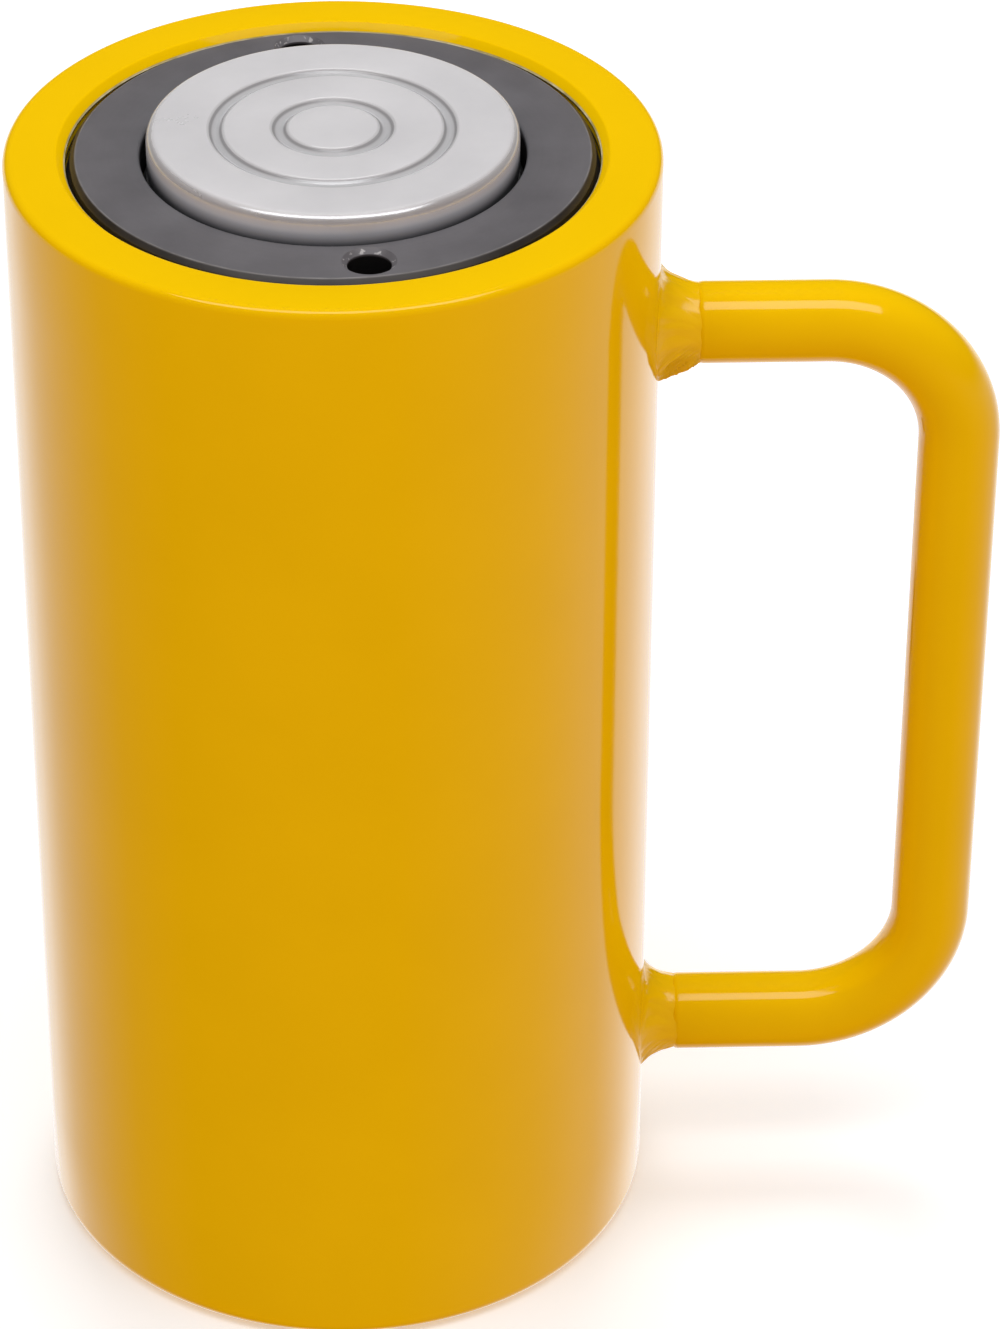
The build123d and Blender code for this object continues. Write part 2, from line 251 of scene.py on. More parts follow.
# ------------------------------------------------------------------ material helpers
class Mat:
    def __init__(self, name):
        self.m = bpy.data.materials.new(name)
        self.m.use_nodes = True
        self.t = self.m.node_tree
        self.b = self.t.nodes["Principled BSDF"]
        self.co = self.t.nodes.new("ShaderNodeTexCoord").outputs["Object"]

    def set(self, **kw):
        for k, v in kw.items():
            self.b.inputs[k.replace("_", " ")].default_value = v
        return self

    def node(self, kind, **kw):
        n = self.t.nodes.new(kind)
        for k, v in kw.items():
            setattr(n, k, v)
        return n

    def link(self, a, b):
        self.t.links.new(a, b)

    def noise(self, scale, detail=3.0, rough=0.5, vec=None, dims="3D", w=None):
        n = self.node("ShaderNodeTexNoise", noise_dimensions=dims)
        n.inputs["Scale"].default_value = scale
        n.inputs["Detail"].default_value = detail
        n.inputs["Roughness"].default_value = rough
        if dims == "1D":
            self.link(w, n.inputs["W"])
        else:
            self.link(vec or self.co, n.inputs["Vector"])
        return n.outputs["Fac"]

    def radius(self, centre=(0, 0, 0), plane="XY"):
        """Distance from an axis, for turning marks."""
        s = self.node("ShaderNodeSeparateXYZ")
        self.link(self.co, s.inputs[0])
        pick = {"XY": (0, 1), "XZ": (0, 2)}[plane]
        sq = []
        for i in pick:
            off = self.node("ShaderNodeMath", operation="SUBTRACT")
            self.link(s.outputs[i], off.inputs[0])
            off.inputs[1].default_value = centre[i]
            p = self.node("ShaderNodeMath", operation="MULTIPLY")
            self.link(off.outputs[0], p.inputs[0])
            self.link(off.outputs[0], p.inputs[1])
            sq.append(p.outputs[0])
        add = self.node("ShaderNodeMath", operation="ADD")
        self.link(sq[0], add.inputs[0])
        self.link(sq[1], add.inputs[1])
        root = self.node("ShaderNodeMath", operation="SQRT")
        self.link(add.outputs[0], root.inputs[0])
        return root.outputs[0]

    def height(self):
        return self.axis(2)

    def axis(self, i):
        s = self.node("ShaderNodeSeparateXYZ")
        self.link(self.co, s.inputs[0])
        return s.outputs[i]

    def product(self, a, b):
        n = self.node("ShaderNodeMath", operation="MULTIPLY")
        self.link(a, n.inputs[0])
        self.link(b, n.inputs[1])
        return n.outputs[0]

    def mix(self, fac, a, b):
        n = self.node("ShaderNodeMix", data_type="RGBA")
        self.link(fac, n.inputs["Factor"])
        self.link(a, n.inputs[6])
        self.link(b, n.inputs[7])
        return n.outputs[2]

    def add(self, a, b):
        n = self.node("ShaderNodeMath", operation="ADD")
        self.link(a, n.inputs[0])
        self.link(b, n.inputs[1])
        return n.outputs[0]

    def mul(self, a, k):
        n = self.node("ShaderNodeMath", operation="MULTIPLY")
        self.link(a, n.inputs[0])
        n.inputs[1].default_value = k
        return n.outputs[0]

    def span(self, fac, lo, hi, a=0.3, b=0.7):
        n = self.node("ShaderNodeMapRange")
        n.inputs["From Min"].default_value = a
        n.inputs["From Max"].default_value = b
        n.inputs["To Min"].default_value = lo
        n.inputs["To Max"].default_value = hi
        self.link(fac, n.inputs["Value"])
        return n.outputs["Result"]

    def ramp(self, fac, stops):
        n = self.node("ShaderNodeValToRGB")
        e = n.color_ramp.elements
        while len(e) < len(stops):
            e.new(0.5)
        for el, (p, c) in zip(e, stops):
            el.position = p
            el.color = (*c, 1.0)
        self.link(fac, n.inputs["Fac"])
        return n.outputs["Color"]

    def bump(self, *layers):
        """layers: (height, distance in metres, strength), stacked."""
        last = None
        for h, dist, strength in layers:
            n = self.node("ShaderNodeBump")
            n.inputs["Distance"].default_value = dist
            n.inputs["Strength"].default_value = strength
            self.link(h, n.inputs["Height"])
            if last:
                self.link(last, n.inputs["Normal"])
            last = n.outputs["Normal"]
        self.link(last, self.b.inputs["Normal"])
        return last


def give(ob, mat):
    ob.data.materials.clear()
    ob.data.materials.append(mat)


# ------------------------------------------------------------------ materials
# gloss enamel: levelled paint with very slight orange peel and a clear top layer
p = Mat("gloss_yellow_enamel")
p.set(Roughness=0.42, IOR=1.5, Specular_IOR_Level=0.0, Coat_Weight=1.0, Coat_Roughness=0.075, Coat_IOR=1.5)
fine = p.noise(34.0, 4.0, 0.55)
enamel = p.ramp(fine, [(0.3, (0.872, 0.555, 0.0002)), (0.7, (0.900, 0.575, 0.0005))])
# the enamel stops at the masked gland thread, which is painted near-black as painted shade in its crevice; the lip
# above it is painted pale, a painted highlight on worn paint
prad = p.radius()
high = p.span(p.height(), 0.0, 1.0, 0.2000, 0.2050)
# painted shade mask for the thread crevice, also where the enamel and its coat stop
bare_thread_shade = p.product(p.span(prad, 1.0, 0.0, 0.05162, 0.05185), high)
lip = p.product(p.product(p.span(prad, 0.0, 1.0, 0.05149, 0.05153), p.span(p.height(), 0.0, 1.0, 0.2433, 0.2435)), bare_thread_shade)
thread_shade_black = p.ramp(p.noise(400.0, 3.0), [(0.3, (0.020, 0.018, 0.014)), (0.7, (0.045, 0.040, 0.030))])
# painted highlight: pale tone for the thin lip band
worn_lip_highlight = p.ramp(p.noise(260.0, 3.0), [(0.35, (0.42, 0.36, 0.16)), (0.65, (0.78, 0.70, 0.42))])
p.link(p.mix(lip, p.mix(bare_thread_shade, enamel, thread_shade_black), worn_lip_highlight), p.b.inputs["Base Color"])
dull = p.product(p.span(prad, 1.0, 0.0, 0.0530, 0.0536), high)
p.link(p.product(p.span(bare_thread_shade, 1.0, 0.0, 0.0, 1.0), p.span(dull, 1.0, 0.22, 0.0, 1.0)), p.b.inputs["Coat Weight"])
peel = p.noise(520.0, 2.0, 0.5)
wave = p.noise(60.0, 2.0, 0.5)
nrm = p.bump((peel, 0.00002, 0.06), (wave, 0.0003, 0.035))
p.link(nrm, p.b.inputs["Coat Normal"])
PAINT = p.m
# the same enamel over a weld: duller and less level
PAINT_WELD = PAINT.copy()
PAINT_WELD.name = "gloss_yellow_enamel_on_weld"
PAINT_WELD.node_tree.nodes["Principled BSDF"].inputs["Coat Roughness"].default_value = 0.17

# blackened turned steel of the gland nut: its face is given a paler tone than the chamfer and the thread, painted light
# on the face and painted shade on the chamfer and the thread, with a painted highlight along the chamfer's edge
g = Mat("black_oxide_turned")
g.set(IOR=1.5)
rad = g.radius()
marks = g.noise(5200.0, 2.0, 0.6, dims="1D", w=rad)
blot = g.noise(70.0, 5.0, 0.6)
rings_ = g.noise(900.0, 3.0, 0.6, dims="1D", w=rad)
face = g.ramp(blot, [(0.32, (0.168, 0.166, 0.178)), (0.62, (0.202, 0.200, 0.214))])
# painted shade: darker tone for the chamfer and the thread
edge = g.ramp(blot, [(0.32, (0.078, 0.074, 0.074)), (0.62, (0.105, 0.100, 0.100))])
shaded_chamfer_mask = g.span(rad, 0.0, 1.0, 0.04958, 0.04985)
# painted highlight: pale band along the chamfer's edge
edge_highlight_mask = g.product(g.span(rad, 0.0, 1.0, 0.04930, 0.04950), g.span(rad, 1.0, 0.0, 0.04958, 0.04975))
pale = g.ramp(g.noise(180.0, 3.0), [(0.35, (0.20, 0.198, 0.205)), (0.65, (0.30, 0.298, 0.305))])
# painted shade: near-black in the spanner holes and the mouth; uncoated steel chips on the countersinks
gz = g.height()
# painted shade mask for the holes and the mouth
hole_shade_mask = g.product(g.span(gz, 1.0, 0.0, 0.2434, 0.2438), g.span(rad, 1.0, 0.0, 0.0493, 0.0495))
chip = g.span(g.noise(900.0, 2.0), 0.0, 1.0, 0.58, 0.64)
chip = g.product(chip, g.product(g.span(gz, 0.0, 1.0, 0.2439, 0.2441), g.span(gz, 1.0, 0.0, 0.24465, 0.24485)))
chip = g.product(chip, g.product(g.span(rad, 1.0, 0.0, 0.0490, 0.0492), g.span(rad, 0.0, 1.0, 0.0382, 0.0384)))
black = g.ramp(blot, [(0.3, (0.012, 0.012, 0.012)), (0.7, (0.020, 0.019, 0.019))])
body_ = g.mix(hole_shade_mask, g.mix(edge_highlight_mask, g.mix(shaded_chamfer_mask, face, edge), pale), black)
g.link(g.mix(chip, body_, g.ramp(blot, [(0.3, (0.45, 0.45, 0.45)), (0.7, (0.60, 0.60, 0.60))])), g.b.inputs["Base Color"])
g.link(g.span(shaded_chamfer_mask, 0.35, 0.8, 0.0, 1.0), g.b.inputs["Metallic"])
g.link(g.add(g.span(blot, 0.36, 0.46), g.mul(rings_, 0.08)), g.b.inputs["Roughness"])
g.bump((marks, 0.00001, 0.35), (g.noise(900.0, 3.0), 0.00001, 0.2))
OXIDE = g.m

# small blackened screws and anchors
k = Mat("black_oxide_plain")
k.set(Metallic=0.85)
kb = k.noise(300.0, 4.0, 0.6)
k.link(k.ramp(kb, [(0.3, (0.05, 0.05, 0.052)), (0.7, (0.085, 0.083, 0.085))]), k.b.inputs["Base Color"])
k.link(k.span(kb, 0.38, 0.52), k.b.inputs["Roughness"])
k.bump((kb, 0.00002, 0.2))
OXIDE_SMALL = k.m

# plated saddle: satin turned face, duller and darker down the skirt; the skirt's cooler tone and its darkening toward
# the bottom are painted light and shade
s = Mat("plated_saddle")
s.set(IOR=1.5)
rad = s.radius()
marks = s.noise(4200.0, 2.0, 0.65, dims="1D", w=rad)
cloud = s.noise(55.0, 5.0, 0.55)
top = s.ramp(cloud, [(0.3, (0.718, 0.737, 0.760)), (0.7, (0.788, 0.807, 0.830))])
# painted light: cooler tone for the skirt, against the warm fill
skirt = s.ramp(cloud, [(0.3, (0.58, 0.67, 0.75)), (0.7, (0.64, 0.73, 0.81))])
zz_ = s.height()
outer = s.span(rad, 0.0, 1.0, 0.0340, 0.0345)
down_ = s.product(s.span(zz_, 1.0, 0.0, 0.2462, 0.2484), outer)
# painted shade: the skirt darkens toward the bottom, next to the gland
skirt_shade_mask = s.span(zz_, 1.0, 0.0, 0.2436, 0.2470)
edge_ = s.product(s.product(s.span(zz_, 0.0, 1.0, 0.2478, 0.2488), s.span(zz_, 1.0, 0.0, 0.2495, 0.2499)), outer)
# the grooves are turned brighter than the face, with a grey line of painted shade under each lip
deep = s.product(s.span(zz_, 1.0, 0.0, 0.24955, 0.24985), s.span(rad, 1.0, 0.0, 0.0300, 0.0305))
lips = s.product(s.span(zz_, 0.0, 1.0, 0.24932, 0.24952), s.span(zz_, 1.0, 0.0, 0.24975, 0.24992))
# painted shade: grey line under the groove lips, broken up by noise
lip_shade_mask = s.product(s.product(lips, s.span(rad, 1.0, 0.0, 0.0300, 0.0305)), s.span(cloud, 0.55, 0.95, 0.0, 1.0))
skirt_shade_tone = s.ramp(cloud, [(0.3, (0.085, 0.09, 0.098)), (0.7, (0.125, 0.13, 0.14))])
grey = s.ramp(cloud, [(0.3, (0.30, 0.305, 0.315)), (0.7, (0.37, 0.373, 0.38))])
s.link(s.mix(lip_shade_mask, s.mix(down_, top, s.mix(skirt_shade_mask, skirt, skirt_shade_tone)), grey), s.b.inputs["Base Color"])
s.link(s.add(s.span(deep, 0.22, 0.40, 0.0, 1.0), s.span(edge_, 0.0, 0.30, 0.0, 1.0)), s.b.inputs["Metallic"])
s.link(s.add(s.add(s.span(cloud, 0.27, 0.37), s.span(edge_, 0.0, -0.08, 0.0, 1.0)), s.span(deep, 0.0, -0.11, 0.0, 1.0)), s.b.inputs["Roughness"])
s.bump((marks, 0.00001, 0.22), (s.noise(1500.0, 3.0), 0.000006, 0.12))
SADDLE = s.m

# ground hard chrome of the plunger
c = Mat("hard_chrome_ground")
c.set(Metallic=0.84)
zz = c.axis(2)
grind = c.noise(6500.0, 2.0, 0.6, dims="1D", w=zz)
cl = c.noise(40.0, 4.0, 0.5)
c.link(c.ramp(cl, [(0.3, (0.72, 0.725, 0.735)), (0.7, (0.79, 0.79, 0.795))]), c.b.inputs["Base Color"])
c.link(c.span(cl, 0.12, 0.2), c.b.inputs["Roughness"])
c.bump((grind, 0.000006, 0.25))
CHROME = c.m

# oiled spring wire
w = Mat("spring_wire")
w.set(Metallic=0.9)
wb = w.noise(240.0, 4.0, 0.6)
w.link(w.ramp(wb, [(0.3, (0.16, 0.155, 0.15)), (0.7, (0.26, 0.25, 0.24))]), w.b.inputs["Base Color"])
w.link(w.span(wb, 0.25, 0.42), w.b.inputs["Roughness"])
WIRE = w.m

# zinc-plated fitting
z = Mat("zinc_plated_fitting")
z.set(Metallic=0.85)
rad = z.axis(1)
zm = z.noise(5200.0, 2.0, 0.6, dims="1D", w=rad)
zc = z.noise(120.0, 4.0, 0.5)
z.link(z.ramp(zc, [(0.3, (0.50, 0.50, 0.48)), (0.7, (0.62, 0.62, 0.60))]), z.b.inputs["Base Color"])
z.link(z.span(zc, 0.24, 0.36), z.b.inputs["Roughness"])
z.bump((zm, 0.000008, 0.3))
ZINC = z.m

# seal rubber, bronze bearing, acetal rings, moulded cap
r_ = Mat("seal_rubber_black")
rn = r_.noise(600.0, 3.0)
r_.link(r_.ramp(rn, [(0.3, (0.018, 0.018, 0.019)), (0.7, (0.03, 0.03, 0.031))]), r_.b.inputs["Base Color"])
r_.link(r_.span(rn, 0.5, 0.65), r_.b.inputs["Roughness"])
r_.bump((rn, 0.00001, 0.2))
RUBBER = r_.m

br = Mat("bearing_bronze")
br.set(Metallic=0.9)
bn = br.noise(180.0, 4.0)
br.link(br.ramp(bn, [(0.3, (0.42, 0.26, 0.11)), (0.7, (0.56, 0.37, 0.17))]), br.b.inputs["Base Color"])
br.link(br.span(bn, 0.3, 0.42), br.b.inputs["Roughness"])
BRONZE = br.m

ac = Mat("acetal_ring")
an = ac.noise(150.0, 4.0)
ac.link(ac.ramp(an, [(0.3, (0.36, 0.33, 0.27)), (0.7, (0.44, 0.41, 0.34))]), ac.b.inputs["Base Color"])
ac.link(ac.span(an, 0.4, 0.52), ac.b.inputs["Roughness"])
ACETAL = ac.m

cp = Mat("moulded_cap_black")
cn = cp.noise(900.0, 3.0)
cp.link(cp.ramp(cn, [(0.3, (0.02, 0.02, 0.021)), (0.7, (0.032, 0.032, 0.034))]), cp.b.inputs["Base Color"])
cp.link(cp.span(cn, 0.38, 0.5), cp.b.inputs["Roughness"])
cp.bump((cn, 0.00002, 0.35))
CAP = cp.m

slots = {"paint_yellow": PAINT, "black_oxide": OXIDE_SMALL, "seal_rubber": RUBBER, "bearing_bronze": BRONZE,
         "hard_chrome": CHROME, "ring_plastic": ACETAL, "saddle_steel": SADDLE, "spring_steel": WIRE,
         "plated_steel": ZINC, "cap_plastic": CAP}
for sp in frame["record"]["subparts"]:
    give(frame["nodes"][sp["node"]], slots[sp["material_slot"]])

# ------------------------------------------------------------------ barrel
thread = []
zz = H - 1.8
prof = [(0, 0), (40, 0), (R, 0, 3.6), (R, H, 1.8), (53.25, H, 0.9), (51.5, zz, 0.2), (51.5, zz - 0.25)]
# internal thread: rounded crests at 2 mm pitch
n = 0
while n < 6:
    prof += [(52.55, zz - 1.0 - 2 * n, 0.1), (51.5, zz - 2.0 - 2 * n, 0.12)]
    n += 1
prof += [(52.5, zz - 12.8), (52.5, 212.4), (50.0, 211.4), (50.0, 203.5), (48.5, 203.5), (47.6, 199.5),
         (47.6, 27.5), (47.0, 25.6), (45.1, 25.0), (0, 25.0)]
pts = []
body_prof = soften([tuple(q) for q in prof], seg=6)
# extra rings up the wall keep the shading even
out = []
for a, b in zip(body_prof, body_prof[1:]):
    out.append(a)
    if abs(a[0] - R) < 0.01 and abs(b[0] - R) < 0.01 and abs(b[1] - a[1]) > 30:
        m = 12
        for i in range(1, m):
            out.append((R, a[1] + (b[1] - a[1]) * i / m))
out.append(body_prof[-1])
barrel = lathe("barrel_shell", out, seg=240)
cutters = []
for a in (45, 135, 225, 315):
    x, y = 47.6 * math.cos(math.radians(a)), 47.6 * math.sin(math.radians(a))
    cutters.append(lathe("cutter", [(0, -1), (6.4, -1), (6.4, -0.0), (5.4, 0.8), (5.4, 17.5), (0, 19)], seg=40, centre=(x, y, 0)))
cutters.append(lathe("cutter", [(0, 9), (6.0, 9), (6.0, 26), (0, 26)], seg=40))
cutters.append(lathe("cutter", [(0, 45), (3.2, 45), (3.2, 49.8), (8.05, 50.8), (8.4, 61.2), (9.2, 62.0), (14.8, 62.0), (14.8, 70), (0, 70)],
                     seg=64, axis="Y", centre=(0, 0, PORT)))
cut(barrel, cutters)
give(barrel, PAINT)
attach(barrel, "cylinder_body")
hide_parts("barrel")

# ------------------------------------------------------------------ carry handle
path = []
start = Vector((61.5, 0, ZT))
cx, czt, czb = GRIP - BEND, ZT - BEND, ZB + BEND
thin = {}
for x, less in ((61.5, 1.4), (68.0, 1.4), (70.4, 1.1), (71.0, 0.45), (71.5, 0.12), (72.1, 0), (78, 0), (84, 0), (90, 0)):
    thin[len(path)] = less
    path.append((Vector((x, 0, ZT)), Vector((1, 0, 0))))
for i in range(0, 31):
    a = math.radians(90 - 3 * i)
    path.append((Vector((cx + BEND * math.cos(a), 0, czt + BEND * math.sin(a))), Vector((math.sin(a), 0, -math.cos(a)))))
for i in range(1, 10):
    path.append((Vector((GRIP, 0, czt + (czb - czt) * i / 10)), Vector((0, 0, -1))))
for i in range(0, 31):
    a = math.radians(-3 * i)
    path.append((Vector((cx + BEND * math.cos(a), 0, czb + BEND * math.sin(a))), Vector((math.sin(a), 0, -math.cos(a)))))
for x, less in ((90, 0), (84, 0), (78, 0), (71.0, 0), (70.4, 0.12), (69.9, 0.45), (69.3, 1.1), (66.5, 1.4), (61.5, 1.4)):
    thin[len(path)] = less
    path.append((Vector((x, 0, ZB)), Vector((-1, 0, 0))))
handle = tube("carry_handle_bar", path, BAR, ring=72, wobble=lambda i, a, r: r - thin.get(i, 0))
give(handle, PAINT)
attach(handle, "cylinder_body")
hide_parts("carry_handle")


# ------------------------------------------------------------------ welds
def weld(name, zc, reach, flare, seed, crinkle, hollow):
    """A fillet weld round the bar under paint. It fills the bevel at the bar's end, so a low crease
    shows there, and spreads on the barrel to an uneven toe; sharper puckers run along its underside."""
    N, S = 360, 48
    verts, faces = [], []
    for i in range(N):
        th = 2 * math.pi * i / N
        cs, sn = math.cos(th), math.sin(th)
        cyc = Vector((cs, sn, seed))
        n1 = noise.noise(cyc * 1.3)
        n2 = noise.noise(cyc * 3.1 + Vector((7, 1, 2)))
        n3 = noise.noise(cyc * 6.5 + Vector((3, 5, 9)))
        low = max(0.0, -cs)
        end = R + reach + 0.75 * n1 + 0.5 * n2
        rb = BAR + flare + 0.9 * cs + 0.35 * n2 + 0.25 * n3
        neck = BAR - 0.14 - 0.50 * low ** 1.5 * (0.4 + 0.6 * crinkle) + 0.15 * n2
        soft_ = hollow + (0.85 - hollow) * cs

        def wall(rho):
            return math.sqrt(R * R - (rho * sn) ** 2)

        verts.append((end + 0.5, (BAR - 1.5) * sn, zc + (BAR - 1.5) * cs))
        for j in range(S + 1):
            u = j / S
            span_ = end - wall(neck)
            phi = u * math.pi / 2
            d = span_ * (soft_ * (1 - math.sin(phi)) + (1 - soft_) * (1 - u))
            rho = neck + (rb - neck) * (soft_ * (1 - math.cos(phi)) + (1 - soft_) * u)
            mid = math.sin(math.pi * u) ** 0.6
            # ripples: crescents that trail behind the puddle, nearly filled by the paint
            along = th * 10.2 + 3.0 * (u - 0.5) ** 2 * 4 + 1.2 * n1 + 0.7 * noise.noise(cyc * 2.2)
            rip = abs(math.sin(along)) ** 0.7
            lump = noise.noise(Vector((cs * 2.3, sn * 2.3, seed + u * 2.4)))
            # puckers run slantwise from the barrel's toe towards the bar
            sl = th * 8.5 + 4.5 * u
            pk = 1 - abs(noise.noise(Vector((sl * 1.9, u * 0.9, seed * 3)))) * 3.0
            pk = max(0.0, pk) ** 1.3
            mask = min(1.0, 1.3 * crinkle * low ** 0.8)
            toe = max(0.0, (u - 0.6) / 0.4) * (0.35 + 0.65 * abs(cs))
            off = mid * (0.12 * (rip - 0.5) + 0.34 * lump + 0.95 * mask * (pk - 0.4)) + 0.25 * toe * (1 - u) * 4 * (pk - 0.4)
            rho = max(rho + 0.75 * off, BAR - 0.9)
            verts.append((wall(rho) + d + 0.5 * off, rho * sn, zc + rho * cs))
        rho = rb + 0.25
        verts.append((wall(rho) - 0.25, rho * sn, zc + rho * cs))
        verts.append((wall(BAR) - 1.6, (BAR - 1.5) * sn, zc + (BAR - 1.5) * cs))
    W = S + 4
    for i in range(N):
        i2 = (i + 1) % N
        for j in range(W - 1):
            faces.append((i * W + j, i2 * W + j, i2 * W + j + 1, i * W + j + 1))
        faces.append((i * W + W - 1, i2 * W + W - 1, i2 * W, i * W))
    ob = mesh_object(name, verts, faces, smooth=60)
    fix_normals(ob)
    give(ob, PAINT_WELD)
    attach(ob, "cylinder_body")
    return ob


wu = weld("weld_bead_upper", ZT, 7.9, 4.1, 1.7, 1.0, 0.36)
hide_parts("handle_weld_upper")
wl = weld("weld_bead_lower", ZB, 6.7, 4.0, 5.2, 0.35, 0.72)
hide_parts("handle_weld_lower")

# ------------------------------------------------------------------ gland nut
G = H - 0.6                 # the nut's face
prof = [(37.2, 235.5), (37.2, G, 0.7), (49.6, G, 0.3), (50.6, G - 1.0, 0.2), (50.6, G - 3.0), (51.35, G - 3.75, 0.1)]
for i in range(6):
    z0 = G - 3.75 - 2 * i
    prof += [(50.25, z0 - 1.0, 0.1), (51.35, z0 - 2.0, 0.12)]
prof += [(51.35, 215.9), (49.95, 214.5), (49.95, 210.6), (47.4, 210.6), (47.4, 207.0), (49.95, 207.0),
         (49.95, 203.9), (49.55, 203.5), (37.0, 203.5), (36.5, 204.0), (36.5, 208.0), (38.5, 208.0), (38.5, 224.0),
         (36.5, 224.0), (36.5, 229.5), (40.4, 229.5), (40.4, 235.5)]
gland = lathe("gland_nut_turned", soften(prof, seg=5), seg=240, closed=True)
cutters = []
for a in (-81.6, 98.4):
    x, y = 43.7 * math.cos(math.radians(a)), 43.7 * math.sin(math.radians(a))
    cutters.append(lathe("cutter", [(0, G - 8), (4.2, G - 8), (4.2, G - 1.0), (5.2, G), (5.25, G + 1), (0, G + 1)], seg=48, centre=(x, y, 0)))
cut(gland, cutters)
give(gland, OXIDE)
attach(gland, "cylinder_body")
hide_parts("gland_nut")

# ------------------------------------------------------------------ saddle
def groove(r0, r1, depth, lip=0.22, n=14):
    """Groove with straight flanks and a rounded bottom between two radii, listed from the outside in."""
    half = (r1 - r0) / 2
    mid = (r1 + r0) / 2
    e = 0.28
    pts = []
    for i in range(n + 1):
        t = 1 - 2 * i / n
        f = (math.sqrt(1 + e * e) - math.sqrt(t * t + e * e)) / (math.sqrt(1 + e * e) - e)
        pts.append((mid + half * t, TOP - depth * f))
    # rolled lips
    first = [(r1 + lip, TOP), (r1 + lip * 0.45, TOP - 0.035), (r1 + 0.02, TOP - 0.13)]
    last = [(r0 - 0.02, TOP - 0.13), (r0 - lip * 0.45, TOP - 0.035), (r0 - lip, TOP)]
    return first + pts[1:-1] + last


prof = [(0, 229.0), (14.9, 229.0), (15.9, 230.0), (15.9, 232.8), (14.6, 233.2), (14.6, 235.0), (15.9, 235.4), (15.9, 241.0)]
prof += soften([(15.9, 241.0), (35.0, 241.0, 0.2), (35.9, 241.9, 0.2), (35.9, TOP, 2.1), (30.0, TOP)], seg=7)[1:]
prof += groove(21.0, 24.1, 0.9)
prof += groove(8.64, 12.04, 0.9)
prof += [(4.0, TOP), (0, TOP)]
saddle = lathe("saddle_grooved", prof, seg=192)
give(saddle, SADDLE)
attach(saddle, "plunger_assembly")
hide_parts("saddle")

# ------------------------------------------------------------------ return spring
spring = coil("return_spring_coil", 16.5, 2.5, 32.5, 6.8, 23)
give(spring, WIRE)
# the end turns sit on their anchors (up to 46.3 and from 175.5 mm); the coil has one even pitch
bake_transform(spring)
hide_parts("return_spring")

# ------------------------------------------------------------------ port coupler
def hexed(af, chamfer_r, y0, y1):
    """Turns a lathe section into a hexagon with the usual turned corners."""
    def shape(r, h, a):
        if r < af / 2 + 0.01 or not (y0 - 0.01 <= h <= y1 + 0.01):
            return r, h
        k = (a + math.pi / 6) % (math.pi / 3) - math.pi / 6
        hexr = (af / 2) / math.cos(k)
        edge = min(h - y0, y1 - h)
        limit = chamfer_r + edge * 1.75
        return min(hexr, limit, r), h
    return shape


yh = [62.6 + 8.4 * i / 24 for i in range(25)]
prof = [(3.2, 51.0), (7.4, 51.0), (8.0, 51.6), (8.3, 61.0), (8.3, 62.55)]
prof += [(13.9, y) for y in yh]
prof += [(8.0, 71.0), (8.0, 77.0), (3.2, 77.0)]
nip = lathe("coupler_nipple_hex", prof, seg=144, axis="Y", centre=(0, 0, PORT), closed=True, smooth=28, shape=hexed(24.0, 12.6, 62.6, 71.0))
give(nip, ZINC)
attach(nip, "cylinder_body")
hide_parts("coupler_nipple")

prof = [(8.05, 71.0), (11.4, 71.0, 0.2), (12.0, 71.6, 0.2), (12.0, 79.0, 0.2), (11.2, 79.6, 0.2), (11.2, 82.0, 0.2), (12.0, 82.6, 0.2)]
y = 82.8
while y < 94.2:
    prof += [(12.0, y, 0.08), (11.35, y + 0.55, 0.08), (11.35, y + 0.75, 0.08), (12.0, y + 1.3, 0.08)]
    y += 1.55
prof += [(12.0, 95.0, 0.2), (11.0, 96.0, 0.2), (11.0, 99.0, 0.3), (10.5, 99.5, 0.2), (7.8, 99.5, 0.2), (7.0, 98.7, 0.2), (7.0, 96.6), (8.5, 96.6),
         (8.5, 94.4), (7.0, 94.4), (7.0, 93.0), (4.0, 93.0, 0.15), (4.0, 91.6, 0.15), (6.6, 89.0), (6.6, 77.2), (8.05, 77.2)]
cb = lathe("coupler_body_threaded", soften(prof, seg=3), seg=144, axis="Y", centre=(0, 0, PORT), closed=True)
give(cb, ZINC)
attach(cb, "cylinder_body")
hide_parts("coupler_body")


# the poppet's spring: between the seat and the poppet's head, given a mesh of its own
small = coil("coupler_spring_coil", 4.6, 0.45, 77.5, 1.53, 6, axis="Y", at=(0, 0, PORT), ring=10, per_turn=36)
give(small, WIRE)
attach(small, "cylinder_body")
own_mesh(small)
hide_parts("coupler_spring")


def ribbed(r, h, a):
    if r > 14.0 and 87.2 < h < 101.3:
        k = (a * 24 / (2 * math.pi)) % 1.0
        d = abs(k - 0.5) * 2
        ease = min(1.0, (h - 87.2) / 0.8, (101.3 - h) / 0.8)
        return r - 0.75 * max(0.0, ease) * max(0.0, 1 - (d / 0.42) ** 2) ** 0.8, h
    return r, h


prof = soften([(12.35, 84.0), (13.9, 84.0, 0.25), (14.5, 84.8, 0.3), (14.5, 86.8), (14.5, 87.3), (14.5, 88.0), (14.5, 94.0), (14.5, 100.6), (14.5, 101.2),
               (14.5, 102.4, 1.0), (13.2, 103.5, 0.6), (9.5, 103.5, 0.3), (9.0, 103.05, 0.3), (0, 103.05)], seg=4)
prof += [(0, 100.0), (11.6, 100.0), (12.35, 98.0)]
cap = lathe("dust_cap_ribbed", prof, seg=288, axis="Y", centre=(0, 0, PORT), closed=True, shape=ribbed)
give(cap, CAP)
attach(cap, "cap")
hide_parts("dust_cap")

